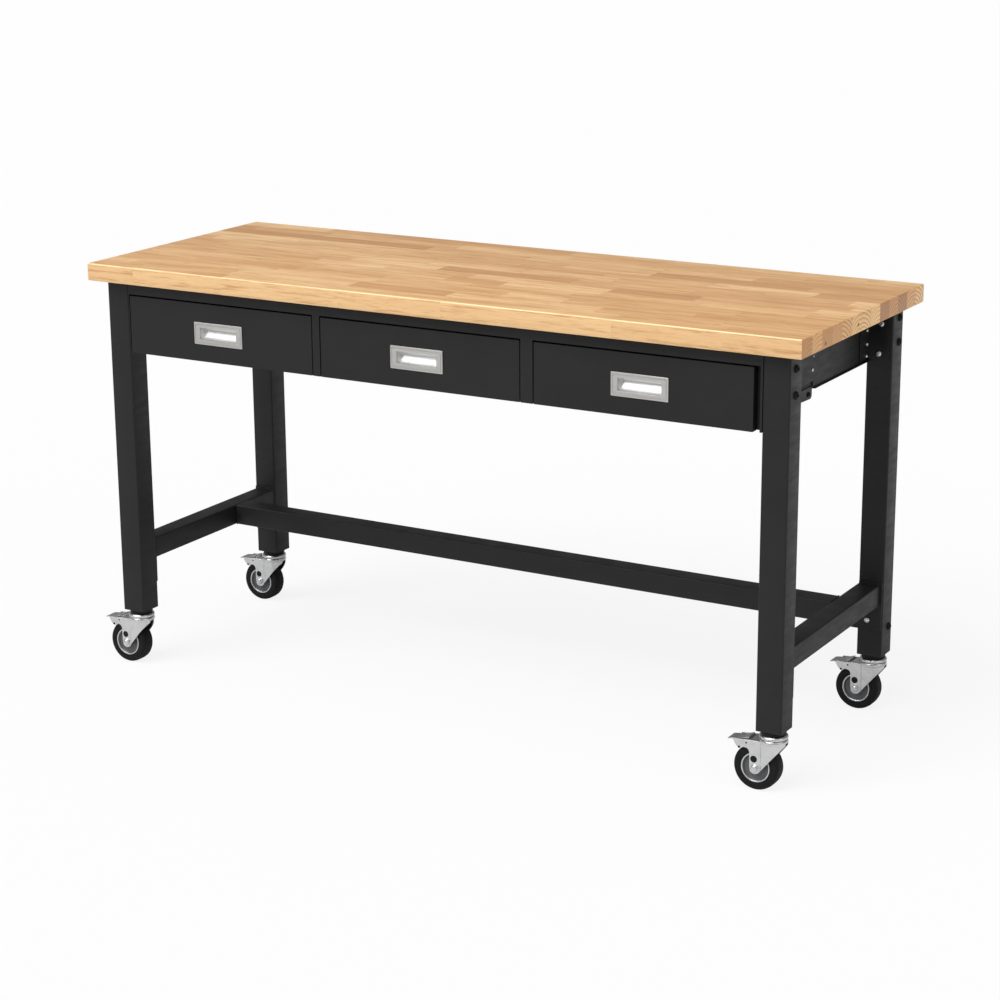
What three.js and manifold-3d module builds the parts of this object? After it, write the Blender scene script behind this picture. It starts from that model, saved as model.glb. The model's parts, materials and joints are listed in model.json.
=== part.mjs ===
// Rolling workbench: a butcher-block top on four square steel legs with locking swivel
// casters, a sheet-metal case under the top with three drawers on slides, and a lower
// H-shaped stretcher frame. Millimetres, +Z up, the drawers open towards -Y.
import * as THREE from 'three';
import { mergeVertices } from 'three/addons/utils/BufferGeometryUtils.js';
import Module from 'manifold-3d';

const wasm = await Module();
wasm.setup();

// ---------------------------------------------------------------- driving dimensions

const GAP = 0.3; // clearance between pieces that touch
const SHEET = 2; // folded sheet steel
const PLATE = 3; // brackets and end plates

const TOP = { width: 1676, depth: 626, thickness: 38, ease: 3 };
const HEIGHT = 920;
const UNDERSIDE = HEIGHT - TOP.thickness;

const LEG = { size: 55.5, wall: 2.5, corner: 3.5, bottom: 129, insetX: 32.5, insetY: 26.5 };
const LEG_X = TOP.width / 2 - LEG.insetX - LEG.size / 2;
const LEG_Y = TOP.depth / 2 - LEG.insetY - LEG.size / 2;
const FRAME_TOP = UNDERSIDE - GAP;
const FRONT = -LEG_Y - LEG.size / 2; // plane of the leg fronts, drawer fronts and case front

const RAIL = { size: 46.5, wall: 2, corner: 3, top: 290, outerInset: 7 };
const RAIL_X = LEG_X + LEG.size / 2 - RAIL.outerInset - RAIL.size / 2;
const CROSS_RAIL_Y = 99.5;
const RAIL_PLATE = { width: 52, above: 3.5, bottom: 188, rearTab: 24, tabHeight: 28 };
const CAP = { thickness: 3, proud: 0.4 }; // end caps of the cross stretcher
const VENT = { radius: 4, length: 12 };

const APRON = { bottom: 764, flange: 22, hem: 5, hemStart: 4, rearLip: 15, webInset: 20 };
// Depths of the lobe and of the slot are measured from the worktop's front edge.
const APRON_LOBE = { end: 263, frontBottom: 753, bottom: 745, corner: 8 };
const APRON_SLOT = { start: 200, end: 266, bottom: 770, top: 779 };
const BRACKET = { bottom: 772, top: 875, reach: 42, pastLegCentre: 21.5 };

const DRAWER = { width: 474.5, bottom: 726.5, top: 852, frontDepth: 18 };
const DRAWER_CENTRES = [-509, -12.5, 494]; // from the middle of the worktop
const SIDE_GAP = 2;
const TOP_GAP = 3.5;
const CASE = { lip: 14, webBottom: 760, stileBottom: 727.5, rightStileWidth: 4.9 };
const STILE_RETURN = { sheet: 1.4, width: 17.8 }; // turned in behind the right drawer's front
const BOX = { depth: 400, bottom: 752, height: 87, wall: 1.5 };
const SLIDE = { length: 400, height: 45, thickness: 12.7, sheet: 1.5, z: 806.5 };

const SLIDE_MEMBER = { outerDepth: 9, innerDepth: 8, innerHeight: 37, setback: 3 };
const PACKING_OVERLAP = 1; // by which a packing channel is taller than the slide, above and below

const PULL = {
  offset: -2.5, z: 788.2, width: 124.5, height: 48, plate: 1.5, wall: 1.2,
  mouthWidth: 94, mouthHeight: 25.5, depth: 15.5,
};

const CASTER = {
  trail: 30.5, wheelRadius: 48, wheelWidth: 34, hubRadius: 30.5, axleRadius: 5, headTop: 120,
};
const FORK = { plate: 2.5, inner: 20, crown: 105, ringTop: 111.7, ringRadius: 28, holeRadius: 8 };
const HEAD = { radius: 29, thickness: 8, stemRadius: 6, stemTop: 170 };
const FOOT = { flangeTop: 26, flangeBottom: 24.5, plugHeight: 32 };
const PEDAL = { halfWidth: 14.5, pivotX: -51, pivotZ: 98.5, pinRadius: 2.5, tipX: -92.5 };

const ROUND = 24; // segments of a full turn on the casters

// The pedals on the left reach past the worktop, so the bench is shifted to centre its outline.
const CENTRE_SHIFT = (LEG_X - PEDAL.tipX - TOP.width / 2) / 2;

// ---------------------------------------------------------------- materials

function material(color, roughness, metalness) {
  return () => new THREE.MeshStandardMaterial({ color, roughness, metalness });
}

const wood = material(0xdeb284, 0.5, 0);
const blackSteel = material(0x2b2b2c, 0.45, 0.3);
const zinc = material(0xc4c6c8, 0.3, 0.9);
const stainless = material(0xb9b6b2, 0.32, 1);
const blackPlastic = material(0x151515, 0.55, 0);
const rubber = material(0x1b1b1c, 0.8, 0);
const hubGrey = material(0x7e8082, 0.5, 0.4);

// ---------------------------------------------------------------- geometry helpers

// The bare triangles of a geometry, with coincident corners merged.
function welded(geometry) {
  const bare = geometry.clone();
  bare.deleteAttribute('normal');
  bare.deleteAttribute('uv');
  return mergeVertices(bare, 1e-4);
}

function solid(geometry) {
  const mesh = welded(geometry);
  return new wasm.Manifold(new wasm.Mesh({
    numProp: 3,
    vertProperties: new Float32Array(mesh.attributes.position.array),
    triVerts: new Uint32Array(mesh.index.array),
  }));
}

function surface(body) {
  const mesh = body.getMesh();
  const geometry = new THREE.BufferGeometry();
  geometry.setAttribute('position', new THREE.BufferAttribute(new Float32Array(mesh.vertProperties), 3));
  geometry.setIndex(new THREE.BufferAttribute(new Uint32Array(mesh.triVerts), 1));
  geometry.computeVertexNormals();
  return geometry;
}

function join(...geometries) {
  return surface(geometries.map(solid).reduce((whole, piece) => whole.add(piece)));
}

function cut(geometry, ...tools) {
  return surface(tools.map(solid).reduce((whole, tool) => whole.subtract(tool), solid(geometry)));
}

// A mirror image in the plane x = 0.
function mirrorX(geometry) {
  return surface(solid(geometry).mirror([1, 0, 0]));
}

function named(name, geometry, makeMaterial, x = 0, y = 0, z = 0) {
  const mesh = new THREE.Mesh(geometry, makeMaterial());
  mesh.name = name;
  mesh.position.set(x, y, z);
  return mesh;
}

// A box between two corners.
function box([x0, x1], [y0, y1], [z0, z1]) {
  const geometry = new THREE.BoxGeometry(x1 - x0, y1 - y0, z1 - z0);
  return geometry.translate((x0 + x1) / 2, (y0 + y1) / 2, (z0 + z1) / 2);
}

function roundedRect(width, height, radius, path = new THREE.Shape()) {
  const x = width / 2 - radius;
  const y = height / 2 - radius;
  path.absarc(x, y, radius, 0, Math.PI / 2);
  path.absarc(-x, y, radius, Math.PI / 2, Math.PI);
  path.absarc(-x, -y, radius, Math.PI, Math.PI * 1.5);
  path.absarc(x, -y, radius, Math.PI * 1.5, Math.PI * 2);
  path.closePath();
  return path;
}

function prism(shape, length, curveSegments = 3) {
  return new THREE.ExtrudeGeometry(shape, { depth: length, bevelEnabled: false, curveSegments });
}

// A prism whose length runs along +X, with the shape's x along the bench's y and its y up.
function prismX(shape, length, curveSegments) {
  return prism(shape, length, curveSegments).rotateZ(Math.PI / 2).rotateY(Math.PI / 2);
}

// A prism whose length runs along +Y, with the shape's x along the bench's x and its y up.
function prismY(shape, length, curveSegments) {
  return prism(shape, length, curveSegments).rotateX(Math.PI / 2).translate(0, length, 0);
}

function polygon(points) {
  return new THREE.Shape(points.map(([x, y]) => new THREE.Vector2(x, y)));
}

function squareTube(size, wall, corner) {
  const shape = roundedRect(size, size, corner);
  const bore = size - 2 * wall;
  shape.holes.push(roundedRect(bore, bore, Math.max(corner - wall, 1), new THREE.Path()));
  return shape;
}

function lathe(profile, segments = ROUND) {
  const points = profile.map(([r, z]) => new THREE.Vector2(r, z));
  return new THREE.LatheGeometry(points, segments).rotateX(Math.PI / 2);
}

// A cylinder with its axis along Y.
function pinY(radius, [y0, y1], x, z, segments = 20) {
  const geometry = new THREE.CylinderGeometry(radius, radius, y1 - y0, segments);
  return geometry.translate(x, (y0 + y1) / 2, z);
}

// Drain hole through the underside of a closed stretcher tube, drawn across the tube's centre line.
function ventHole() {
  const { radius, length } = VENT;
  return new THREE.CylinderGeometry(radius, radius, length, 12).rotateX(Math.PI / 2);
}

// ---------------------------------------------------------------- worktop and legs

function worktop() {
  const inner = { width: TOP.width - 2 * TOP.ease, depth: TOP.depth - 2 * TOP.ease };
  const slab = new THREE.ExtrudeGeometry(roundedRect(inner.width, inner.depth, 1), {
    depth: TOP.thickness - 2 * TOP.ease,
    bevelEnabled: true,
    bevelSize: TOP.ease,
    bevelThickness: TOP.ease,
    bevelSegments: 2,
    curveSegments: 1,
  });
  return named('worktop', slab, wood, 0, 0, UNDERSIDE + TOP.ease);
}

function leg(name, x, y) {
  const tube = prism(squareTube(LEG.size, LEG.wall, LEG.corner), FRAME_TOP - LEG.bottom);
  return named(`leg_${name}`, tube, blackSteel, x, y, LEG.bottom);
}

// Plastic insert in the leg's lower end, with a round collar under it and a bore for the caster stem.
function legFoot(name, x, y) {
  const boreRadius = HEAD.stemRadius + GAP;
  const collarTop = LEG.bottom - GAP;
  const collar = lathe([
    [0, CASTER.headTop + GAP],
    [FOOT.flangeBottom, CASTER.headTop + GAP],
    [FOOT.flangeTop, collarTop],
    [0, collarTop],
  ], 28);
  const plugSize = LEG.size - 2 * LEG.wall - 2 * GAP;
  const plug = prism(roundedRect(plugSize, plugSize, 1.5), FOOT.plugHeight, 1);
  plug.translate(0, 0, collarTop - 1);
  const bore = lathe([[0, 100], [boreRadius, 100], [boreRadius, 200], [0, 200]], 20);
  return named(`leg_foot_${name}`, cut(join(collar, plug), bore), blackPlastic, x, y, 0);
}

// ---------------------------------------------------------------- lower stretcher frame

// Side stretcher: a tube between the front and rear legs, welded to an end plate at each leg.
// The rear plate has a tab at its foot that reaches past the inner side of the leg.
function sideStretcher(name, side) {
  const plateFace = LEG_Y - LEG.size / 2 - GAP;
  const tubeLength = 2 * (plateFace - PLATE) + 2;
  const tube = prismY(squareTube(RAIL.size, RAIL.wall, RAIL.corner), tubeLength);
  tube.translate(0, -tubeLength / 2, RAIL.top - RAIL.size / 2);
  const middle = LEG_X - RAIL_X;
  const outer = side * (middle + RAIL_PLATE.width / 2);
  const inner = side * (middle - RAIL_PLATE.width / 2);
  const tabEnd = inner - side * RAIL_PLATE.rearTab;
  const { bottom } = RAIL_PLATE;
  const tabTop = bottom + RAIL_PLATE.tabHeight;
  const top = RAIL.top + RAIL_PLATE.above;
  const frontOutline = polygon([[outer, top], [outer, bottom], [inner, bottom], [inner, top]]);
  const rearOutline = polygon([
    [outer, top],
    [outer, bottom],
    [tabEnd, bottom],
    [tabEnd, tabTop],
    [inner, tabTop],
    [inner, top],
  ]);
  const frontPlate = prismY(frontOutline, PLATE).translate(0, -plateFace, 0);
  const rearPlate = prismY(rearOutline, PLATE).translate(0, plateFace - PLATE, 0);
  const vent = ventHole().translate(0, 0, RAIL.top - RAIL.size);
  const body = cut(join(tube, rearPlate, frontPlate), vent);
  return named(`lower_side_stretcher_${name}`, body, blackSteel, side * RAIL_X, 0, 0);
}

// Long stretcher between the two side stretchers, with a thin cap on each end.
function crossStretcher() {
  const reach = RAIL_X - RAIL.size / 2 - GAP;
  const tubeLength = 2 * (reach - CAP.thickness) + 2;
  const tube = prismX(squareTube(RAIL.size, RAIL.wall, RAIL.corner), tubeLength);
  tube.translate(-tubeLength / 2, 0, 0);
  const half = RAIL.size / 2 + CAP.proud;
  const caps = [
    box([-reach, CAP.thickness - reach], [-half, half], [-half, half]),
    box([reach - CAP.thickness, reach], [-half, half], [-half, half]),
  ];
  const vent = ventHole().translate(0, 0, -RAIL.size / 2);
  const body = cut(join(tube, ...caps), vent);
  const z = RAIL.top - RAIL.size / 2;
  return named('lower_cross_stretcher', body, blackSteel, 0, CROSS_RAIL_Y, z);
}

// ---------------------------------------------------------------- upper frame and drawer case

const TOP_FRONT = -TOP.depth / 2;
const APRON_OUTER = LEG_X - LEG.size / 2 - GAP; // outer face of the side aprons
const APRON_INNER = APRON_OUTER - SHEET;
const APRON_START = FRONT + APRON.webInset;

// Side apron: a folded web on the inner faces of the legs, with a flange under the worktop
// between the legs, a narrow hem along the bottom, and a rounded lobe under the front end.
function sideApron(name, side) {
  const start = APRON_START;
  const end = LEG_Y + LEG.size / 2 - SHEET - GAP;
  const web = box([APRON_INNER, APRON_OUTER], [start, end], [APRON.bottom, FRAME_TOP]);
  const legFace = LEG_Y - LEG.size / 2 - GAP;
  const flange = box(
    [APRON_INNER, APRON_OUTER + APRON.flange],
    [-legFace, legFace],
    [FRAME_TOP - SHEET, FRAME_TOP],
  );
  const lobeEnd = TOP_FRONT + APRON_LOBE.end;
  const hem = box(
    [APRON_INNER, APRON_OUTER + APRON.hem],
    [lobeEnd + APRON.hemStart, legFace],
    [APRON.bottom, APRON.bottom + SHEET],
  );
  const { corner, bottom, frontBottom } = APRON_LOBE;
  const lobeTop = APRON.bottom + SHEET / 2;
  const lobeShape = new THREE.Shape();
  lobeShape.moveTo(start, lobeTop);
  lobeShape.lineTo(start, frontBottom);
  lobeShape.absarc(lobeEnd - corner, bottom + corner, corner, -Math.PI / 2, 0);
  lobeShape.lineTo(lobeEnd, lobeTop);
  const lobe = prismX(lobeShape, SHEET, 4).translate(APRON_INNER, 0, 0);
  const slot = box(
    [APRON_INNER - 1, APRON_OUTER + 1],
    [TOP_FRONT + APRON_SLOT.start, TOP_FRONT + APRON_SLOT.end],
    [APRON_SLOT.bottom, APRON_SLOT.top],
  );
  const body = cut(join(web, flange, hem, lobe), slot);
  return named(`side_apron_${name}`, side < 0 ? mirrorX(body) : body, blackSteel);
}

// Rear apron: a channel between the side aprons, flush with the backs of the rear legs.
function rearApron() {
  const half = APRON_INNER - GAP;
  const back = -FRONT;
  const lip = APRON.rearLip;
  const web = box([-half, half], [back - SHEET, back], [APRON.bottom, FRAME_TOP]);
  const notch = half - lip - 2 * SHEET;
  const upper = box([-half, half], [back - lip, back], [FRAME_TOP - SHEET, FRAME_TOP]);
  const lower = box([-notch, notch], [back - lip, back], [APRON.bottom, APRON.bottom + SHEET]);
  return named('rear_apron', join(web, upper, lower), blackSteel);
}

// L-shaped bracket that ties a rear leg's front face to the side apron.
function legBracket(name, side) {
  const z = [BRACKET.bottom, BRACKET.top];
  const legFace = LEG_Y - LEG.size / 2 - GAP;
  const inner = APRON_OUTER + GAP;
  const onLeg = box([inner, LEG_X + BRACKET.pastLegCentre], [legFace - PLATE, legFace], z);
  const onApron = box([inner, inner + PLATE], [legFace - BRACKET.reach, legFace], z);
  const body = join(onLeg, onApron);
  return named(`rear_leg_bracket_${name}`, side < 0 ? mirrorX(body) : body, blackSteel);
}

const SLIDE_FRONT = FRONT + DRAWER.frontDepth + 2;
const BAY_HALF = DRAWER.width / 2 - 0.75; // from a drawer's centre to the walls its slides are fixed to

// Hat-section divider between two neighbouring drawers, running back to the rear apron.
function divider(leftCentre, rightCentre) {
  const left = leftCentre + DRAWER.width / 2 + SIDE_GAP;
  const right = rightCentre - DRAWER.width / 2 - SIDE_GAP;
  const webLeft = leftCentre + BAY_HALF;
  const webRight = rightCentre - BAY_HALF;
  const lip = [FRONT, FRONT + CASE.lip];
  const web = [SLIDE_FRONT - SHEET / 2, -FRONT - APRON.rearLip - GAP];
  return [
    box([left, right], [FRONT, FRONT + SHEET], [DRAWER.bottom, FRAME_TOP]),
    box([left, left + SHEET], lip, [DRAWER.bottom, FRAME_TOP]),
    box([right - SHEET, right], lip, [DRAWER.bottom, FRAME_TOP]),
    box([webLeft, webLeft + SHEET], web, [CASE.webBottom, FRAME_TOP]),
    box([webRight - SHEET, webRight], web, [CASE.webBottom, FRAME_TOP]),
    box([webLeft, webRight], [FRONT, web[1]], [FRAME_TOP - SHEET, FRAME_TOP]),
  ];
}

// Drawer case: a top rail across the front, the two dividers, and a narrow stile at each end.
// The right stile is folded back and then in behind the drawer front, which closes the gap there.
function drawerCase() {
  const railBottom = DRAWER.top + TOP_GAP;
  const half = APRON_OUTER;
  const lip = [FRONT, FRONT + CASE.lip];
  const stileHeight = [CASE.stileBottom, FRAME_TOP];
  const stileEdge = half - CASE.rightStileWidth;
  const returnBack = FRONT + DRAWER.frontDepth + GAP + STILE_RETURN.sheet;
  const returnFront = returnBack - STILE_RETURN.sheet;
  const pieces = [
    box([-half, half], [FRONT, FRONT + SHEET], [railBottom, FRAME_TOP]),
    box([-half, half], lip, [railBottom, railBottom + SHEET]),
    box([-half, half], lip, [FRAME_TOP - SHEET, FRAME_TOP]),
    ...divider(DRAWER_CENTRES[0], DRAWER_CENTRES[1]),
    ...divider(DRAWER_CENTRES[1], DRAWER_CENTRES[2]),
    box([-half, SHEET - half], lip, stileHeight),
    box([half - SHEET, half], lip, stileHeight),
    box([stileEdge, half], [FRONT, FRONT + SHEET], stileHeight),
    box([stileEdge, stileEdge + SHEET], [FRONT, returnBack], stileHeight),
    box([stileEdge - STILE_RETURN.width, stileEdge + 1], [returnFront, returnBack], stileHeight),
  ];
  return named('drawer_case', join(...pieces), blackSteel);
}

// ---------------------------------------------------------------- drawers

const BOX_HALF = BAY_HALF - SLIDE.thickness - GAP;

// Folded front pan, open at the back, with a cut-out for the pull's bowl.
function drawerFront(name, x) {
  const half = DRAWER.width / 2;
  const back = FRONT + DRAWER.frontDepth;
  const shell = box([-half, half], [FRONT, back], [DRAWER.bottom, DRAWER.top]);
  const inside = box(
    [-half + SHEET, half - SHEET],
    [FRONT + SHEET, back + 1],
    [DRAWER.bottom + SHEET, DRAWER.top - SHEET],
  );
  const holeHalf = PULL.mouthWidth / 2 + PULL.wall + 1;
  const holeRise = PULL.mouthHeight / 2 + PULL.wall + 1;
  const hole = box(
    [PULL.offset - holeHalf, PULL.offset + holeHalf],
    [FRONT - 1, FRONT + SHEET + 1],
    [PULL.z - holeRise, PULL.z + holeRise],
  );
  return named(`drawer_front_${name}`, cut(shell, inside, hole), blackSteel, x, 0, 0);
}

// Drawer box: four walls and a bottom, hung behind the front pan.
function drawerBox(name, x) {
  const y = [SLIDE_FRONT - 2 + GAP, SLIDE_FRONT + BOX.depth];
  const z = [BOX.bottom, BOX.bottom + BOX.height];
  const t = BOX.wall;
  const shell = box([-BOX_HALF, BOX_HALF], y, z);
  const inside = box([-BOX_HALF + t, BOX_HALF - t], [y[0] + t, y[1] - t], [z[0] + t, z[1] + 1]);
  return named(`drawer_box_${name}`, cut(shell, inside), blackSteel, x, 0, 0);
}

// A bowl of half-elliptical section that opens towards -Y, with straight walls in front of y = 0.
function bowl(halfWidth, rise, depth) {
  const straight = 4;
  const shape = new THREE.Shape();
  shape.absellipse(0, 0, depth, rise, -Math.PI / 2, Math.PI / 2, false, 0);
  shape.lineTo(-straight, rise);
  shape.lineTo(-straight, -rise);
  shape.closePath();
  return prismX(shape, 2 * halfWidth, 10).translate(-halfWidth, 0, 0);
}

// Flush pull: a thin plate with a half-round bowl pressed in behind its mouth.
function drawerPull(name, x) {
  const outline = roundedRect(PULL.width, PULL.height, 1.5);
  const plate = prismY(outline, PULL.plate, 2).translate(0, -PULL.plate - GAP, 0);
  const halfWidth = PULL.mouthWidth / 2;
  const rise = PULL.mouthHeight / 2;
  const outer = bowl(halfWidth + PULL.wall, rise + PULL.wall, PULL.depth + PULL.wall);
  const far = PULL.width;
  const behindPlate = box([-far, far], [-GAP - PULL.plate / 2, far], [-far, far]);
  const shell = surface(solid(outer).intersect(solid(behindPlate)));
  const inner = bowl(halfWidth, rise, PULL.depth);
  const body = cut(join(plate, shell), inner);
  return named(`drawer_pull_${name}`, body, stainless, x + PULL.offset, FRONT, PULL.z);
}

// Channel section of a slide member: x runs from its back to its open side, y is up.
function channel(height, depth, sheet) {
  return [
    [0, -height / 2],
    [depth, -height / 2],
    [depth, -height / 2 + sheet],
    [sheet, -height / 2 + sheet],
    [sheet, height / 2 - sheet],
    [depth, height / 2 - sheet],
    [depth, height / 2],
    [0, height / 2],
  ];
}

// Packing between the back of an end slide and the side apron: a flat strip in a narrow space,
// a channel that opens towards the slide's back in a wide one.
function packing(space) {
  const overlap = SLIDE.sheet / 2;
  if (space < 2 * SLIDE.sheet) {
    const half = SLIDE_MEMBER.innerHeight / 2;
    return box([-space, overlap], [0, SLIDE.length], [-half, half]);
  }
  const outline = channel(SLIDE.height + 2 * PACKING_OVERLAP, space + overlap, SLIDE.sheet);
  const flipped = outline.map(([x, z]) => [overlap - x, z]).reverse();
  return prismY(polygon(flipped), SLIDE.length);
}

// Outer member, fixed to the case and opening in the given x direction.
function slideOuter(name, x, direction, space) {
  const section = polygon(channel(SLIDE.height, SLIDE_MEMBER.outerDepth, SLIDE.sheet));
  const bare = prismY(section, SLIDE.length);
  const member = space > 0 ? join(bare, packing(space)) : surface(solid(bare));
  member.translate(0, SLIDE_FRONT, SLIDE.z);
  return named(`slide_outer_${name}`, direction < 0 ? mirrorX(member) : member, zinc, x, 0, 0);
}

// Inner member, fixed to the drawer box and nested in the outer one.
function slideInner(name, x, direction) {
  const { innerHeight, innerDepth, setback } = SLIDE_MEMBER;
  const section = polygon(channel(innerHeight, innerDepth, SLIDE.sheet));
  const member = prismY(section, SLIDE.length - 2 * setback);
  member.translate(0, SLIDE_FRONT + setback, SLIDE.z);
  return named(`slide_inner_${name}`, direction < 0 ? mirrorX(member) : member, zinc, x, 0, 0);
}

// A drawer with its pair of slides. Packing fills the space behind a slide next to a side apron.
function drawer(name, x) {
  const wall = BAY_HALF - GAP;
  const apronFace = APRON_INNER - GAP;
  const isFirst = x === DRAWER_CENTRES[0];
  const isLast = x === DRAWER_CENTRES[DRAWER_CENTRES.length - 1];
  const group = new THREE.Group();
  group.add(
    drawerFront(name, x),
    drawerBox(name, x),
    drawerPull(name, x),
    slideOuter(`${name}_a`, x - wall, 1, isFirst ? apronFace + (x - wall) : 0),
    slideOuter(`${name}_b`, x + wall, -1, isLast ? apronFace - (x + wall) : 0),
    slideInner(`${name}_a`, x - BOX_HALF - GAP, -1),
    slideInner(`${name}_b`, x + BOX_HALF + GAP, 1),
  );
  return group;
}

// ---------------------------------------------------------------- casters

// Fixed upper race with the stem that goes up into the leg.
function casterHead(name) {
  const top = CASTER.headTop;
  const bottom = top - HEAD.thickness;
  const geometry = lathe([
    [0, bottom],
    [HEAD.radius - 1.5, bottom],
    [HEAD.radius, bottom + 1.5],
    [HEAD.radius, top - 2],
    [HEAD.radius - 2, top],
    [HEAD.stemRadius, top],
    [HEAD.stemRadius, HEAD.stemTop],
    [0, HEAD.stemTop],
  ]);
  return named(`caster_head_${name}`, geometry, zinc);
}

// Fork: a lower race ring and a crown, two side plates that taper to the axle, and the axle bolt.
function casterFork(name) {
  const outer = FORK.inner + FORK.plate;
  const across = [-outer, outer];
  const axle = { x: -CASTER.trail, z: CASTER.wheelRadius };
  const ring = lathe([
    [0, FORK.crown - 3],
    [FORK.ringRadius - 2, FORK.crown - 3],
    [FORK.ringRadius, FORK.crown],
    [FORK.ringRadius, FORK.ringTop],
    [0, FORK.ringTop],
  ]);
  const outline = new THREE.Shape();
  outline.moveTo(24, FORK.crown);
  outline.lineTo(27, 98);
  outline.lineTo(axle.x + 9, axle.z - 7);
  outline.absarc(axle.x, axle.z, 11.4, -0.66, -Math.PI * 0.85, true);
  outline.lineTo(-41.5, 79);
  outline.quadraticCurveTo(-43, 86, -50, 87.5);
  outline.lineTo(-57, 87);
  outline.lineTo(-62, 83.5);
  outline.lineTo(-70, 87.5);
  outline.lineTo(-77, 98);
  outline.lineTo(-76, 102);
  outline.lineTo(-44, 104);
  outline.lineTo(-24, FORK.crown);
  outline.closePath();
  const sideHole = pinY(FORK.holeRadius, [-2 * outer, 2 * outer], axle.x - 1, axle.z + 18.5, 16);
  const plates = [-outer, FORK.inner].map((y) => (
    prismY(outline, FORK.plate, 5).translate(0, y, 0)
  ));
  const crown = box([-24, 22], across, [FORK.crown - 3, FORK.crown]);
  const axleBolt = pinY(CASTER.axleRadius, [-outer - 4, outer + 4], axle.x, axle.z);
  const nuts = [-1, 1].map((side) => {
    const y = side * (outer + 2);
    return pinY(7, [y - 2.5, y + 2.5], axle.x, axle.z, 6);
  });
  const pedalPin = pinY(PEDAL.pinRadius, across, PEDAL.pivotX, PEDAL.pivotZ, 12);
  const drilled = cut(join(ring, crown, ...plates), sideHole);
  return named(`caster_fork_${name}`, join(drilled, axleBolt, ...nuts, pedalPin), zinc);
}

// A wheel part turned about Y. It is turned by half a segment, so that it stands on a flat.
function wheelProfile(points) {
  return lathe(points).rotateX(Math.PI / 2).rotateY(Math.PI / ROUND);
}

function casterTyre(name) {
  const half = CASTER.wheelWidth / 2;
  const outer = CASTER.wheelRadius / Math.cos(Math.PI / ROUND);
  const inner = CASTER.hubRadius + GAP;
  const tyre = wheelProfile([
    [inner, -half + 1],
    [outer - 6, -half],
    [outer - 1.6, -half + 3.5],
    [outer, -half + 9],
    [outer, half - 9],
    [outer - 1.6, half - 3.5],
    [outer - 6, half],
    [inner, half - 1],
    [inner, -half + 1],
  ]);
  return named(`caster_tyre_${name}`, tyre, rubber, -CASTER.trail, 0, CASTER.wheelRadius);
}

function casterHub(name) {
  const bore = CASTER.axleRadius + 0.5;
  const rim = CASTER.hubRadius;
  const half = CASTER.wheelWidth / 2;
  const hub = wheelProfile([
    [bore, -half - 2],
    [bore + 5, -half - 2],
    [bore + 6, -half + 6],
    [rim - 5, -half + 4],
    [rim, -half + 0.5],
    [rim, half - 0.5],
    [rim - 5, half - 4],
    [bore + 6, half - 6],
    [bore + 5, half + 2],
    [bore, half + 2],
    [bore, -half - 2],
  ]);
  return named(`caster_hub_${name}`, hub, hubGrey, -CASTER.trail, 0, CASTER.wheelRadius);
}

// Brake pedal: a curved tread plate on a web that pivots between the fork's ears.
function casterPedal(name) {
  const tread = new THREE.Shape();
  tread.moveTo(PEDAL.tipX, 98);
  tread.quadraticCurveTo(-88, 104, -78, 105);
  tread.quadraticCurveTo(-66, 106, -54, 111);
  tread.lineTo(-27, 115);
  tread.lineTo(-27, 109);
  tread.lineTo(-50, 106.5);
  tread.lineTo(-66, 101.5);
  tread.quadraticCurveTo(-80, 100, PEDAL.tipX + 2, 96);
  tread.closePath();
  const { halfWidth, pivotX, pivotZ, pinRadius } = PEDAL;
  const top = prismY(tread, 2 * halfWidth, 5).translate(0, -halfWidth, 0);
  const web = polygon([[-64, 104], [-46, 109], [-44, 98], [-50, 94], [-62, 91.5]]);
  const lever = prismY(web, 2 * halfWidth - 4).translate(0, 2 - halfWidth, 0);
  const raceRadius = HEAD.radius + 1;
  const race = new THREE.CylinderGeometry(raceRadius, raceRadius, 60, ROUND).rotateX(Math.PI / 2);
  race.translate(0, 0, 100);
  const pinBore = pinY(pinRadius + GAP, [-2 * halfWidth, 2 * halfWidth], pivotX, pivotZ, 12);
  return named(`caster_pedal_${name}`, cut(join(top, lever), race, pinBore), zinc);
}

function caster(name, x, y) {
  const group = new THREE.Group();
  group.add(
    casterHead(name),
    casterFork(name),
    casterTyre(name),
    casterHub(name),
    casterPedal(name),
  );
  group.position.set(x, y, 0);
  return group;
}

// ---------------------------------------------------------------- assembly

const bench = new THREE.Group();
bench.position.x = CENTRE_SHIFT;
bench.add(worktop(), crossStretcher(), rearApron(), drawerCase());

for (const [name, side] of [['left', -1], ['right', 1]]) {
  bench.add(sideStretcher(name, side), sideApron(name, side), legBracket(name, side));
}

for (const [name, sideX, sideY] of [
  ['front_left', -1, -1],
  ['front_right', 1, -1],
  ['rear_left', -1, 1],
  ['rear_right', 1, 1],
]) {
  const x = sideX * LEG_X;
  const y = sideY * LEG_Y;
  bench.add(leg(name, x, y), legFoot(name, x, y), caster(name, x, y));
}

['left', 'middle', 'right'].forEach((name, index) => {
  bench.add(drawer(name, DRAWER_CENTRES[index]));
});

export default bench;
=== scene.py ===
"""Looks for the rolling workbench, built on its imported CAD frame. Metres, +Z up."""
import json
import math

import bmesh
import bpy
from mathutils import Matrix, Vector

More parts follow.
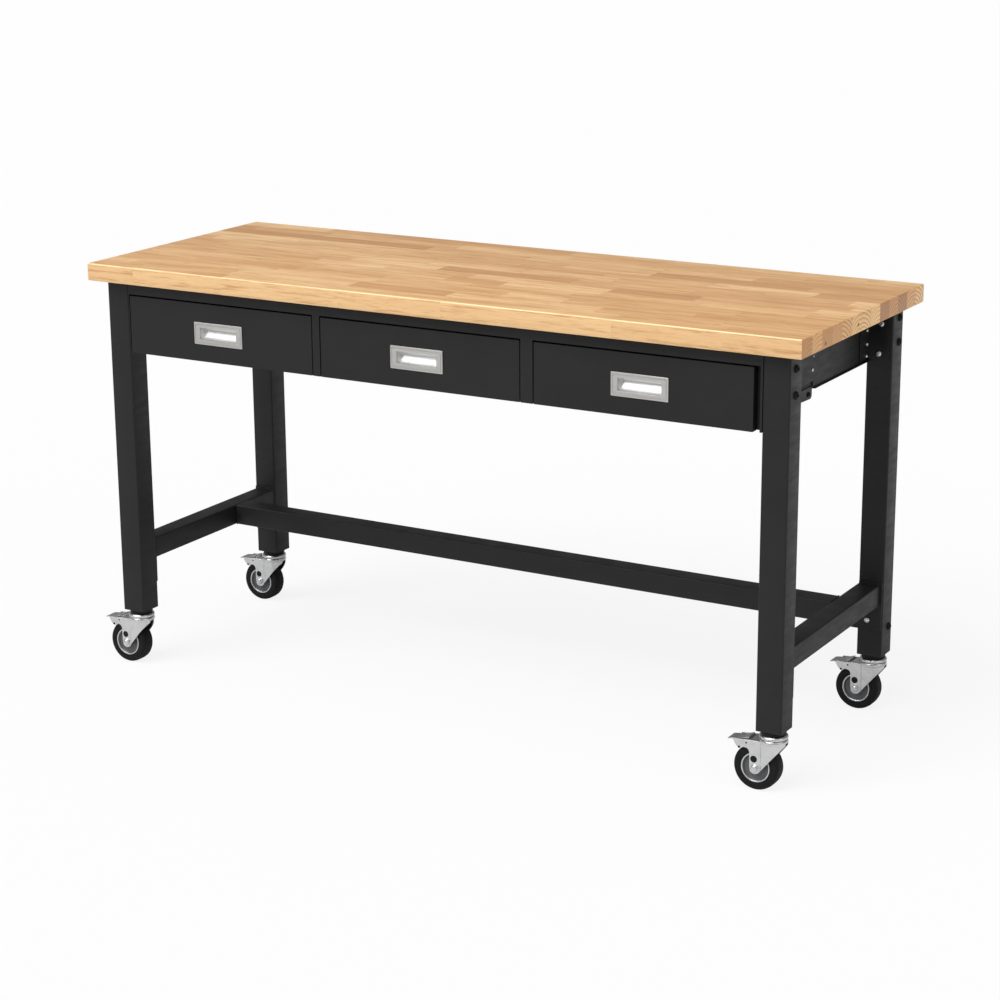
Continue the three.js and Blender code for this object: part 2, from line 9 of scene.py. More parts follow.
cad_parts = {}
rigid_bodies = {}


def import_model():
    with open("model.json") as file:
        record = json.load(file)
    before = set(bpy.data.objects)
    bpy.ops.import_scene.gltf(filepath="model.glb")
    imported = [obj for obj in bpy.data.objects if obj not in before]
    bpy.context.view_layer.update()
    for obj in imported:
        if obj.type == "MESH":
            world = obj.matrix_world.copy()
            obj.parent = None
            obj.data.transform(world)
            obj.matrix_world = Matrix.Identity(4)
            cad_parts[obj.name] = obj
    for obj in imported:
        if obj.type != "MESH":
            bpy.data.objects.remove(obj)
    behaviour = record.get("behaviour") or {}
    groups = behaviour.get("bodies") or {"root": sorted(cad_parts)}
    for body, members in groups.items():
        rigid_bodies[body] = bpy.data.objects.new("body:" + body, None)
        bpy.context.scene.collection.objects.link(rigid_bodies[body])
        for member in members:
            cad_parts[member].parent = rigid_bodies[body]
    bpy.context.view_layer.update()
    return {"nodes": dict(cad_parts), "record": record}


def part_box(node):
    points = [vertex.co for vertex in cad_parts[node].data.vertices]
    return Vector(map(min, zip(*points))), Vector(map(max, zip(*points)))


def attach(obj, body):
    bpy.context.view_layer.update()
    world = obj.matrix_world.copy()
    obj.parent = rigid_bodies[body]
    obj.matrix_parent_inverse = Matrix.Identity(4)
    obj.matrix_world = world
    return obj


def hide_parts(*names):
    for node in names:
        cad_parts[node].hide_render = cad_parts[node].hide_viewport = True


for stray in list(bpy.data.objects):
    bpy.data.objects.remove(stray)

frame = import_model()
MM = 0.001
CORNERS = ("front_left", "front_right", "rear_left", "rear_right")
DRAWERS = ("left", "middle", "right")
FLOOR_LIFT = 0.858  # what the floor gives off where the camera sees it, to meet the backdrop
SKY_LIGHT = 0.28  # the backdrop's strength as a light; the camera sees it at 1
SOFT_LIGHTS = (  # name, direction towards it, width in degrees, strength
    ("overhead", (0.0, -0.3, 1.0), 60.0, 0.85),
    ("front", (-0.35, -1.0, 1.10), 45.0, 3.0),
    ("side", (1.0, -0.25, 0.6), 45.0, 0.45),
)
CAMERA_LENS, CAMERA_SENSOR = 88.2, 36.0  # millimetres
CAMERA_TURN, CAMERA_LIFT, CAMERA_TILT = 30.253, 15.790, -0.398  # degrees
CAMERA_PLACE = (2.5919, -4.3967, 1.8642)
FLOOR_SIZE = 60.0
FLOOR_BOUNCE = (0.79, 0.81)  # darkest and lightest grey of the floor, for the light it gives back
FLOOR_SEEN = (0.100, 0.102)  # and for the camera

# ---------------------------------------------------------------- material helpers


class Shade:
    """A procedural material: a Principled shader and short helpers that wire nodes to it."""

    def __init__(self, name, **constants):
        self.material = bpy.data.materials.new(name)
        self.material.use_nodes = True
        self.tree = self.material.node_tree
        self.bsdf = self.tree.nodes["Principled BSDF"]
        self.point = self.node("ShaderNodeTexCoord").outputs["Object"]
        for socket, value in constants.items():
            self.bsdf.inputs[socket.replace("_", " ")].default_value = value

    def node(self, kind, **settings):
        made = self.tree.nodes.new(kind)
        for key, value in settings.items():
            setattr(made, key, value)
        return made

    def feed(self, socket, value):
        """Links the value to the socket if it is another socket, and sets it if it is constant."""
        if isinstance(value, bpy.types.NodeSocket):
            self.tree.links.new(value, socket)
        else:
            socket.default_value = value

    def math(self, operation, *values):
        made = self.node("ShaderNodeMath", operation=operation)
        for socket, value in zip(made.inputs, values):
            self.feed(socket, value)
        return made.outputs[0]

    def plus(self, first, second):
        return self.math("ADD", first, second)

    def minus(self, first, second):
        return self.math("SUBTRACT", first, second)

    def times(self, first, second):
        return self.math("MULTIPLY", first, second)

    def hypot(self, first, second):
        return self.math("SQRT", self.plus(self.times(first, first), self.times(second, second)))

    def split(self, vector):
        made = self.node("ShaderNodeSeparateXYZ")
        self.feed(made.inputs[0], vector)
        return made.outputs

    def join(self, x, y, z):
        made = self.node("ShaderNodeCombineXYZ")
        for socket, value in zip(made.inputs, (x, y, z)):
            self.feed(socket, value)
        return made.outputs[0]

    def scaled(self, vector, scale):
        made = self.node("ShaderNodeMapping")
        self.feed(made.inputs["Vector"], vector)
        made.inputs["Scale"].default_value = scale
        return made.outputs[0]

    def noise(self, vector, scale, detail=2.0, roughness=0.5):
        made = self.node("ShaderNodeTexNoise")
        self.feed(made.inputs["Vector"], vector)
        made.inputs["Scale"].default_value = scale
        made.inputs["Detail"].default_value = detail
        made.inputs["Roughness"].default_value = roughness
        return made.outputs["Fac"]

    def span(self, value, low, high, start=0.0, end=1.0):
        """Runs from low to high as the value runs from start to end, and stays there outside."""
        made = self.node("ShaderNodeMapRange")
        self.feed(made.inputs["Value"], value)
        made.inputs["From Min"].default_value = start
        made.inputs["From Max"].default_value = end
        self.feed(made.inputs["To Min"], low)
        self.feed(made.inputs["To Max"], high)
        return made.outputs[0]

    def ramp(self, value, *stops):
        made = self.node("ShaderNodeValToRGB")
        self.feed(made.inputs["Fac"], value)
        elements = made.color_ramp.elements
        while len(elements) < len(stops):
            elements.new(0.5)
        for element, (position, color) in zip(elements, stops):
            element.position = position
            element.color = (*color, 1.0)
        return made.outputs["Color"]

    def mix(self, factor, first, second):
        made = self.node("ShaderNodeMix", data_type="RGBA")
        self.feed(made.inputs[0], factor)
        self.feed(made.inputs[6], first)
        self.feed(made.inputs[7], second)
        return made.outputs[2]

    def bump(self, height, strength, distance, below=None):
        made = self.node("ShaderNodeBump")
        made.inputs["Strength"].default_value = strength
        made.inputs["Distance"].default_value = distance
        self.feed(made.inputs["Height"], height)
        if below is not None:
            self.feed(made.inputs["Normal"], below)
        return made.outputs["Normal"]

    def color(self, value):
        self.feed(self.bsdf.inputs["Base Color"], value)

    def roughness(self, value):
        self.feed(self.bsdf.inputs["Roughness"], value)

    def specular(self, value):
        self.feed(self.bsdf.inputs["Specular IOR Level"], value)

    def normal(self, value):
        self.feed(self.bsdf.inputs["Normal"], value)


# ---------------------------------------------------------------- materials

COAT_BLACKS = ((0.3, (0.0092, 0.0092, 0.0093)), (0.7, (0.0115, 0.0115, 0.0116)))


def powder_coat():
    s = Shade("powder_coat_black")
    s.color(s.ramp(s.noise(s.point, 9.0, 4.0, 0.6), *COAT_BLACKS))
    smear = s.noise(s.scaled(s.point, (3.0, 3.0, 14.0)), 6.0, 5.0, 0.6)
    s.roughness(s.span(smear, 0.42, 0.56, 0.3, 0.7))
    s.specular(0.22)
    peel = s.noise(s.point, 950.0, 2.0, 0.5)
    wave = s.noise(s.point, 120.0, 2.0, 0.5)
    s.normal(s.bump(peel, 0.25, 0.00005, s.bump(wave, 0.12, 0.0002)))
    return s.material


WOOD_FACE = ((0.0, (0.50, 0.270, 0.122)), (0.14, (0.60, 0.345, 0.162)),
             (0.55, (0.70, 0.440, 0.215)), (1.0, (0.80, 0.540, 0.285)))
WOOD_END = ((0.0, (0.38, 0.175, 0.066)), (0.3, (0.66, 0.340, 0.130)),
            (0.6, (0.86, 0.500, 0.205)), (1.0, (0.97, 0.620, 0.285)))
WOOD_WARM = (0.54, 0.280, 0.118, 1.0)
WOOD_RING = (0.42, 0.205, 0.080, 1.0)
WOOD_BAND = (0.44, 0.225, 0.095, 1.0)
WOOD_STREAK = (0.43, 0.205, 0.075, 1.0)
WOOD_PORE = (0.28, 0.125, 0.048, 1.0)
# painted light: the paler colour of the front edge, for the stronger light that falls on it from
# the front
WOOD_FRONT_LIGHT = (0.93, 0.650, 0.330, 1.0)
# painted highlight: the pale colour on the upper front arris, for the glint of light it catches
WOOD_ARRIS_HIGHLIGHT = (1.0, 0.84, 0.52, 1.0)
WOOD_END_RING = (0.26, 0.100, 0.034, 1.0)
WOOD_KNOT = (0.09, 0.035, 0.013, 1.0)

STAVE_ROWS = 13
STAVE_LENGTHS = (0.21, 0.33)  # metres, as are the other lengths in the wood
STAVE_START = 0.9  # by up to which the first joint of a row is moved
STAVE_JOG = 0.55  # and by up to which, in stave lengths, every second joint is
PITH_SPREAD = 0.09
PITH_HEIGHTS = (-0.060, 0.034)
RING_SPACING = 0.0085
RING_WOBBLE = 0.018
KNOT_SPREAD = 0.03
KNOT_HEIGHTS = (0.010, 0.028)
KNOT_RADII = (0.0018, 0.0058)
# how far back from the front face the painted light of the front edge reaches
FRONT_LIGHT_DEPTH = 0.0028
ARRIS_WIDTHS = (0.0006, 0.0030)
ROW_GLUE, JOINT_GLUE = 0.00035, 0.0005
# how often the grain changes along, across and through a stave, in a metre
GRAIN_WOBBLE = (1.6, 14.0, 14.0)
GRAIN_CLOUD = (2.4, 10.0, 10.0)
GRAIN_BANDS = (4.5, 52.0, 52.0)
GRAIN_STREAKS = (10.0, 190.0, 190.0)
GRAIN_PORES = (24.0, 700.0, 700.0)
GRAIN_SPECKS = (300.0, 620.0, 620.0)


class ButcherBlock(Shade):
    """The worktop's wood as a solid texture: rows of staves along X, so that the top, the front
    edge and the end grain all belong to the same staves."""

    def __init__(self, low, high):
        super().__init__("rubberwood_block")
        self.row_width = (high.y - low.y) / STAVE_ROWS
        x, y, z = self.split(self.point)
        self.to_front = self.minus(y, low.y)
        self.to_top = self.minus(high.z, z)
        self.height = self.minus(z, low.z)
        self.lay_staves(x)
        self.grow_rings()
        self.grow_fibre()
        facing = self.split(self.node("ShaderNodeTexCoord").outputs["Normal"])
        on_end = self.math("GREATER_THAN", self.math("ABSOLUTE", facing[0]), 0.7)
        wood = self.mix(on_end, self.face_grain(), self.end_grain())
        self.color(self.mix(self.times(self.glue_lines(), 0.35), wood, WOOD_PORE))
        self.roughness(self.span(self.bands, 0.52, 0.40, 0.3, 0.7))
        self.specular(0.35)
        self.normal(self.bump(self.pores, 0.25, 0.00015, self.bump(self.streaks, 0.25, 0.0003)))

    def dice(self, x, y, z=0.0):
        """One value and three more, at random, but the same wherever x, y and z are the same."""
        thrown = self.node("ShaderNodeTexWhiteNoise", noise_dimensions="3D")
        self.feed(thrown.inputs["Vector"], self.join(x, y, z))
        more = self.node("ShaderNodeSeparateColor")
        self.feed(more.inputs[0], thrown.outputs["Color"])
        return thrown.outputs["Value"], more.outputs

    def lay_staves(self, x):
        """Rows across the slab. Every second joint is moved, so that staves differ in length."""
        across = self.math("DIVIDE", self.to_front, self.row_width)
        row = self.math("FLOOR", across)
        self.in_row = self.minus(self.minus(across, row), 0.5)
        self.off_middle = self.times(self.in_row, self.row_width)
        row_value, row_more = self.dice(row, 3.7)
        self.length = self.span(row_value, *STAVE_LENGTHS)
        start = self.times(row_more[0], STAVE_START)
        along = self.math("DIVIDE", self.plus(self.plus(x, 4.0), start), self.length)
        cell = self.math("FLOOR", along)
        self.in_cell = self.minus(along, cell)
        self.joint = self.minus(1.0, self.span(self.dice(row, cell, 9.1)[0], 0.0, STAVE_JOG))
        stave = self.plus(cell, self.math("GREATER_THAN", self.in_cell, self.joint))
        self.tone, (self.drift, self.lean, self.pith) = self.dice(row, stave, 1.3)

    def grow_rings(self):
        """By the distance from a pith line that runs along the stave, some way below or above."""
        dy = self.plus(self.off_middle, self.times(self.minus(self.lean, 0.5), PITH_SPREAD))
        dz = self.minus(self.height, self.span(self.pith, *PITH_HEIGHTS))
        wander = self.noise(self.scaled(self.point, GRAIN_WOBBLE), 1.0, 3.0, 0.55)
        wobble = self.times(self.minus(wander, 0.5), RING_WOBBLE)
        radius = self.plus(self.hypot(dy, dz), wobble)
        turns = self.plus(self.math("DIVIDE", radius, RING_SPACING), self.times(self.drift, 7.0))
        self.ring_line = self.math("POWER", self.math("FRACT", turns), 2.0)

    def grow_fibre(self):
        """Long faint bands, fine streaks and short dark pores, all drawn out along the stave. The
        grain of one stave doesn't run on into the next."""
        shifted = self.node("ShaderNodeVectorMath", operation="ADD")
        self.feed(shifted.inputs[0], self.point)
        self.feed(shifted.inputs[1],
                  self.join(self.times(self.tone, 9.0), 0.0, self.times(self.drift, 5.0)))
        fibre = shifted.outputs[0]
        self.bands = self.noise(self.scaled(fibre, GRAIN_BANDS), 1.0, 4.0, 0.6)
        self.streaks = self.noise(self.scaled(fibre, GRAIN_STREAKS), 1.0, 4.0, 0.65)
        self.pores = self.noise(self.scaled(fibre, GRAIN_PORES), 1.0, 2.0, 0.5)
        self.cloud = self.noise(self.scaled(self.point, GRAIN_CLOUD), 1.0, 3.0, 0.5)

    def face_grain(self):
        """Painted light: a paler front edge, and a painted highlight on its eased upper arris."""
        base = self.ramp(self.tone, *WOOD_FACE)
        warm = self.mix(self.span(self.cloud, 0.0, 0.45, 0.42, 0.72), base, WOOD_WARM)
        ringed = self.mix(self.times(self.ring_line, 0.24), warm, WOOD_RING)
        banded = self.mix(self.span(self.bands, 0.55, 0.0, 0.34, 0.52), ringed, WOOD_BAND)
        # painted light: the front edge painted paler than the top, as if lit more strongly from the
        # front
        on_front = self.math("LESS_THAN", self.to_front, FRONT_LIGHT_DEPTH)
        front_lit = self.mix(self.times(on_front, 0.62), banded, WOOD_FRONT_LIGHT)
        streaked = self.mix(self.span(self.streaks, 0.0, 0.70, 0.52, 0.68), front_lit, WOOD_STREAK)
        pored = self.mix(self.span(self.pores, 0.0, 0.45, 0.57, 0.72), streaked, WOOD_PORE)
        # painted highlight along the upper front arris, coming and going in patches of the cloud
        # noise
        near_top = self.span(self.to_top, 1.0, 0.0, *ARRIS_WIDTHS)
        near_front = self.span(self.to_front, 1.0, 0.0, *ARRIS_WIDTHS)
        highlight_patches = self.span(self.cloud, 0.25, 0.75, 0.35, 0.65)
        return self.mix(self.times(self.times(near_top, near_front), highlight_patches), pored, WOOD_ARRIS_HIGHLIGHT)

    def end_grain(self):
        """Darker than the faces, with stronger rings, specks and a few small knots."""
        line = self.times(self.ring_line, self.span(self.lean, 0.45, 0.95))
        ringed = self.mix(line, self.ramp(self.tone, *WOOD_END), WOOD_END_RING)
        speck = self.noise(self.scaled(self.point, GRAIN_SPECKS), 1.0, 2.0, 0.6)
        specked = self.mix(self.span(speck, 0.0, 0.35, 0.55, 0.75), ringed, WOOD_PORE)
        knot_y = self.minus(self.off_middle, self.times(self.minus(self.drift, 0.5), KNOT_SPREAD))
        knot_z = self.minus(self.height, self.span(self.lean, *KNOT_HEIGHTS))
        knot = self.span(self.hypot(knot_y, knot_z), 0.9, 0.0, *KNOT_RADII)
        knotty = self.math("GREATER_THAN", self.pith, 0.5)
        return self.mix(self.times(knot, knotty), specked, WOOD_KNOT)

    def glue_lines(self):
        """1 on the lines between the rows and between the staves of a row, and 0 elsewhere."""
        to_row = self.times(self.minus(0.5, self.math("ABSOLUTE", self.in_row)), self.row_width)
        to_joint = self.times(self.math("ABSOLUTE", self.minus(self.in_cell, self.joint)),
                              self.length)
        return self.math("MAXIMUM", self.math("LESS_THAN", to_row, ROW_GLUE),
                         self.math("LESS_THAN", to_joint, JOINT_GLUE))


def plated(name, tint, low, high):
    """Zinc plate in a tint, with a roughness that varies from low to high."""
    s = Shade(name, Metallic=1.0)
    blotch = s.noise(s.point, 60.0, 4.0, 0.6)
    dim = tuple(channel * 0.86 for channel in tint)
    s.color(s.ramp(blotch, (0.3, dim), (0.7, tint)))
    scuff = s.noise(s.scaled(s.point, (180.0, 180.0, 900.0)), 1.0, 3.0, 0.6)
    s.roughness(s.span(scuff, low, high, 0.3, 0.7))
    s.normal(s.bump(scuff, 0.15, 0.00006))
    return s.material


BRUSHED_GREYS = ((0.3, (0.41, 0.402, 0.390)), (0.7, (0.55, 0.540, 0.525)))
# a paler grey for the inside of the scoop, from the given depths behind the face
SCOOP_GREY = (0.71, 0.71, 0.70, 1.0)
SCOOP_GREY_DEPTHS = (0.0002, 0.0016)


def brushed_steel(face):
    """Brushed plate, with a paler grey inside the scoop behind the drawer's face."""
    s = Shade("brushed_stainless", Metallic=1.0)
    lines = s.noise(s.scaled(s.point, (14.0, 900.0, 4200.0)), 1.0, 3.0, 0.6)
    inside = s.span(s.minus(s.split(s.point)[1], face), 0.0, 1.0, *SCOOP_GREY_DEPTHS)
    s.color(s.mix(inside, s.ramp(lines, *BRUSHED_GREYS), SCOOP_GREY))
    s.roughness(s.span(lines, 0.36, 0.50, 0.3, 0.7))
    s.normal(s.bump(lines, 0.2, 0.00004))
    return s.material


def moulded(name, tint, low, high, grain=700.0, shine=0.5):
    """Plastic or rubber in a tint, with a roughness that varies from low to high."""
    s = Shade(name)
    s.specular(shine)
    mottle = s.noise(s.point, 40.0, 3.0, 0.6)
    pale = tuple(channel * 1.35 for channel in tint)
    s.color(s.ramp(mottle, (0.35, tint), (0.7, pale)))
    s.roughness(s.span(s.noise(s.point, 150.0, 3.0, 0.6), low, high, 0.3, 0.7))
    s.normal(s.bump(s.noise(s.point, grain, 2.0, 0.5), 0.3, 0.00008))
    return s.material


BLACK = powder_coat()
WOOD = ButcherBlock(*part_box("worktop")).material
ZINC = plated("zinc_bright", (0.60, 0.603, 0.61), 0.24, 0.40)
PEDAL_ZINC = plated("zinc_satin", (0.50, 0.505, 0.51), 0.34, 0.50)
SLIDE_ZINC = plated("zinc_slide", (0.56, 0.57, 0.575), 0.30, 0.46)
STEEL = brushed_steel(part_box("drawer_front_left")[0].y)
PLASTIC = moulded("foot_plastic_black", (0.0035, 0.0035, 0.0037), 0.42, 0.58, shine=0.15)
RUBBER = moulded("tyre_rubber", (0.0033, 0.0033, 0.0035), 0.50, 0.66, 420.0, shine=0.16)
HUB = moulded("hub_plastic_grey", (0.052, 0.054, 0.057), 0.34, 0.46)

FINISH = {
    "wood": WOOD,
    "frame_black": BLACK,
    "foot_plastic": PLASTIC,
    "zinc": ZINC,
    "pedal_zinc": PEDAL_ZINC,
    "slide_zinc": SLIDE_ZINC,
    "pull_steel": STEEL,
    "tyre_rubber": RUBBER,
    "hub_grey": HUB,
}

# ---------------------------------------------------------------- mesh helpers

SHARP_ANGLE = 38.0  # degrees between faces, above which their edge is an arris
WELD = 2e-6
FLAT_ANGLE = 0.4  # degrees between faces, below which they are one flat face
WORKTOP_ARRIS = 0.0030
CASTER_ARRIS = 0.0005
BODY_OF = {node: body for body, members in frame["record"]["behaviour"]["bodies"].items()
           for node in members}


class Builder:
    """Collects closed shells for one piece: millimetres from an origin that is given in metres.

    A shell is drawn as (u, v) points across an axis and w along it. Across X, u is y and v is z;
    across Y, u is x and v is z; across Z, u is x and v is y."""

    def __init__(self, origin):
        self.bm = bmesh.new()
        self.origin = Vector(origin)

    def vertex(self, axis, u, v, w):
        place_of = {"X": (w, u, v), "Y": (u, w, v), "Z": (u, v, w)}[axis]
        return self.bm.verts.new(self.origin + MM * Vector(place_of))

    def loft(self, rings, looped=False):
        """Faces between each ring of vertices and the next, with caps unless the last meets the
        first. A ring of one vertex is a tip."""
        pairs = list(zip(rings, rings[1:] + rings[:1]))
        for first, second in pairs if looped else pairs[:-1]:
            for k in range(max(len(first), len(second))):
                around = (first[k % len(first)], first[(k + 1) % len(first)],
                          second[(k + 1) % len(second)], second[k % len(second)])
                corners = list(dict.fromkeys(around))
                if len(corners) > 2:
                    self.bm.faces.new(corners)
        if not looped:
            for ring in (rings[0], rings[-1]):
                if len(ring) > 2:
                    self.bm.faces.new(ring)

    def prism(self, axis, outline, low, high):
        self.loft([[self.vertex(axis, u, v, w) for u, v in outline] for w in (low, high)])

    def turned(self, axis, centre, profile, segments=48, looped=False):
        """A (radius, w) profile turned about a line along the axis."""
        rings = []
        for radius, w in profile:
            count = segments if radius > 0 else 1
            spots = arc(*centre, radius, 0, 360 * (count - 1) / count, max(count - 1, 1))
            rings.append([self.vertex(axis, u, v, w) for u, v in spots[:count]])
        self.loft(rings, looped)

    def button(self, axis, centre, face, side, radius, height):
        """A low domed screw head with a socket, on a face."""
        shape = ((radius, -0.5), (radius, 0.35), (radius * 0.86, 0.75), (radius * 0.5, 1.0),
                 (radius * 0.42, 0.6), (0, 0.6))
        self.turned(axis, centre, [(r, face + side * w * height) for r, w in shape], 24)


def arc(u, v, radius, start, end, steps):
    angles = [math.radians(start + (end - start) * k / steps) for k in range(steps + 1)]
    return [(u + radius * math.cos(angle), v + radius * math.sin(angle)) for angle in angles]


def rounded_loop(half_width, half_height, radius, steps=3):
    x, z = half_width - radius, half_height - radius
    corners = ((x, z, 0), (-x, z, 90), (-x, -z, 180), (x, -z, 270))
    return [spot for u, v, start in corners for spot in arc(u, v, radius, start, start + 90, steps)]


def place(name, bm, body, slot, sharp=SHARP_ANGLE, bevel=None, finish=None):
    """Makes a piece from a bmesh in frame coordinates, and gives it its body and finish."""
    bmesh.ops.connect_verts_concave(bm, faces=[face for face in bm.faces if len(face.verts) > 4])
    bmesh.ops.recalc_face_normals(bm, faces=bm.faces)
    mesh = bpy.data.meshes.new(name)
    bm.to_mesh(mesh)
    bm.free()
    mesh.materials.append(finish or FINISH[slot])
    mesh.polygons.foreach_set("use_smooth", [True] * len(mesh.polygons))
    mesh.set_sharp_from_angle(angle=math.radians(sharp))
    piece = bpy.data.objects.new(name, mesh)
    bpy.context.scene.collection.objects.link(piece)
    if bevel:
        rounding = piece.modifiers.new("arris", "BEVEL")
        rounding.width = bevel
        rounding.segments = 2
        rounding.limit_method = "ANGLE"
        rounding.angle_limit = math.radians(sharp)
        rounding.harden_normals = True
        rounding.use_clamp_overlap = False
    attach(piece, body)
    return piece


def refine(node, slot, bevel):
    """Stands for a CAD node with the same shape, its flat faces whole and its arrises rounded."""
    bm = bmesh.new()
    bm.from_mesh(frame["nodes"][node].data)
    bmesh.ops.remove_doubles(bm, verts=bm.verts, dist=WELD)
    bmesh.ops.dissolve_limit(bm, angle_limit=math.radians(FLAT_ANGLE), verts=bm.verts,
                             edges=bm.edges, delimit={"NORMAL"})
    piece = place(f"{node}_finish", bm, BODY_OF[node], slot, bevel=bevel)
    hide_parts(node)


def centre_of(node):
    low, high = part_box(node)
    return (low + high) / 2


# ---------------------------------------------------------------- worktop and steel frame


def worktop():
    low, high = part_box("worktop")
    bm = bmesh.new()
    bmesh.ops.create_cube(bm, size=1.0)
    for vertex in bm.verts:
        vertex.co = Vector(high[i] if vertex.co[i] > 0 else low[i] for i in range(3))
    bmesh.ops.bevel(bm, geom=list(bm.edges), offset=WORKTOP_ARRIS, segments=5, profile=0.5,
                    affect="EDGES", clamp_overlap=True)
    piece = place("worktop_slab", bm, "bench", "wood")
    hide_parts("worktop")


worktop()

STEEL_NODES = {  # by the width of their arrises in metres
    0.0012: ["drawer_front_left", "drawer_front_middle", "drawer_front_right"],
    0.0005: ["side_apron_left", "side_apron_right", "rear_apron", "drawer_case",
             "rear_leg_bracket_left", "rear_leg_bracket_right",
             "lower_side_stretcher_left", "lower_side_stretcher_right", "lower_cross_stretcher",
             "leg_front_left", "leg_front_right", "leg_rear_left", "leg_rear_right"],
    0.0003: ["drawer_box_left", "drawer_box_middle", "drawer_box_right"],
}
for width, names in STEEL_NODES.items():
    for node in names:
        refine(node, "frame_black", width)

# Screw heads: millimetres from the middle of the worktop, on the right; the left has the same.
LEG_SIDE_SCREWS = ((-260.5, 852), (-260.5, 801), (266, 855), (266, 804), (268, 189))  # y, z
LEG_BACK_SCREW = (797, 184)  # x, z
APRON_BLACK_SCREW = (-68, 756)  # y, z
APRON_BRIGHT_SCREWS = (((-51, 803), 4.2, 2.6), ((-46, 829), 2.2, 1.6))  # y, z; radius; height
BRACKET_SIDE_SCREWS = ((222, 831), (222, 802), (222, 777))  # y, z
BRACKET_FACE_SCREWS = ((777.5, 784), (781.5, 846.5), (772.6, 209.5))  # x, z
BRACKET_SHEET = 3.0
APRON_GAP = 0.3  # from the inner side of a leg to the face of the apron beside it
# painted shade: a near-black plate just behind the slot in each side apron, standing in for the
# dark inside it
APRON_SLOT_SHADE_PLATE = ((-113.8, 769.2), (-46.2, 769.2), (-46.2, 779.8), (-113.8, 779.8))  # y, z
SLOT_SHADE_PLATE_SPAN = (-2.7, -1.95)  # from the apron's face
SEAM_SPAN = (-2.6, 0.1)  # from the apron's face
SEAM_DEPTHS = (3.0, 0.4)  # in front of the back of the rear apron
SEAM_INSET = 0.3  # from its foot and head


def from_middle(x):
    return (x - centre_of("worktop").x) / MM


def frame_origin():
    return (centre_of("worktop").x, 0.0, 0.0)


def apron_face():
    return from_middle(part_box("leg_rear_right")[0].x) - APRON_GAP


def apron_seams():
    """Closes the slits between the rear apron and the rear legs."""
    low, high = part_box("rear_apron")
    back, foot, head = high.y / MM, low.z / MM + SEAM_INSET, high.z / MM - SEAM_INSET
    inner, outer = (back - depth for depth in SEAM_DEPTHS)
    outline = ((inner, foot), (outer, foot), (outer, head), (inner, head))
    shape = Builder(frame_origin())
    for side in (-1, 1):
        shape.prism("X", outline, *(side * (apron_face() + reach) for reach in SEAM_SPAN))
    place("apron_corner_seams", shape.bm, "bench", "frame_black")


def frame_screws():
    """Screw heads on the legs, the side aprons and the brackets, and a near-black plate behind the
    slot of each side apron: painted shade for the dark inside the slot."""
    black, bright = Builder(frame_origin()), Builder(frame_origin())
    leg_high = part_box("leg_rear_right")[1]
    bracket_low, bracket_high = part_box("rear_leg_bracket_right")
    leg_side, leg_back = from_middle(leg_high.x), leg_high.y / MM
    bracket_side = from_middle(bracket_low.x) + BRACKET_SHEET
    bracket_face = bracket_high.y / MM - BRACKET_SHEET
    apron_side = apron_face()
    for side in (-1, 1):
        for spot in LEG_SIDE_SCREWS:
            black.button("X", spot, side * leg_side, side, 8.0, 5.0)
        x, z = LEG_BACK_SCREW
        black.button("Y", (side * x, z), leg_back, 1, 7.0, 5.0)
        black.button("X", APRON_BLACK_SCREW, side * apron_side, side, 5.5, 3.0)
        # painted shade: the near-black plate behind the apron's slot
        black.prism("X", APRON_SLOT_SHADE_PLATE,
                    *(side * (apron_side + reach) for reach in SLOT_SHADE_PLATE_SPAN))
        for spot, radius, height in APRON_BRIGHT_SCREWS:
            bright.button("X", spot, side * apron_side, side, radius, height)
        for spot in BRACKET_SIDE_SCREWS:
            bright.button("X", spot, side * bracket_side, side, 3.8, 2.6)
        for x, z in BRACKET_FACE_SCREWS:
            bright.button("Y", (side * x, z), bracket_face, -1, 6.2, 4.0)
    place("frame_screws_black", black.bm, "bench", "frame_black", sharp=50, finish=PLASTIC)
    place("frame_screws_bright", bright.bm, "bench", "zinc", sharp=50)


apron_seams()
frame_screws()

# ---------------------------------------------------------------- drawer pulls

# Millimetres from the drawer's face, at the middle of the pull; y runs back into the drawer.
PULL_RINGS = (  # half width, half height, corner radius, y: round the section of the framed plate
    (62.25, 24.0, 1.5, -0.3), (62.25, 24.0, 1.5, -1.35), (61.8, 23.55, 1.2, -1.8),
    (58.9, 20.4, 1.0, -1.8), (58.5, 20.0, 1.0, -0.9), (57.7, 19.2, 1.0, -0.9),
    (57.3, 18.8, 1.0, -1.8), (48.0, 13.7, 1.8, -1.8), (47.3, 13.0, 1.4, -1.5),
    (47.0, 12.75, 1.2, -0.9), (47.0, 12.75, 1.2, -0.3),
)
# the section of the scoop, from the top of the mouth round to its foot: y, z
SCOOP = ((-0.6, 12.75), (3.0, 13.4), (10.0, 13.6), (14.8, 12.4), (16.6, 9.5), (16.7, 6.5),
         (15.6, 1.5), (13.4, -3.5), (10.6, -8.0), (7.2, -11.4), (3.2, -13.2), (-0.6, -12.75))
SCOOP_SHEET = 1.1
SCOOP_HALF_WIDTH = 47.6
END_WALL = (48.1, 46.8)  # from the middle to the back and to the mouth side of an end wall
END_DRAFT = 0.27  # by which the end walls of the scoop lean in as they go back
RIVET = ((1.4, -1.7), (1.3, -2.0), (0.7, -2.15), (0, -2.15))  # radius, y
RIVET_SPOT = (54.6, 16.2)


def offset_curve(points, distance):
    """The curve moved to its left, square to itself."""
    moved = []
    for k, (u, v) in enumerate(points):
        u0, v0 = points[max(k - 1, 0)]
        u1, v1 = points[min(k + 1, len(points) - 1)]
        run = math.hypot(u1 - u0, v1 - v0)
        moved.append((u - distance * (v1 - v0) / run, v + distance * (u1 - u0) / run))
    return moved


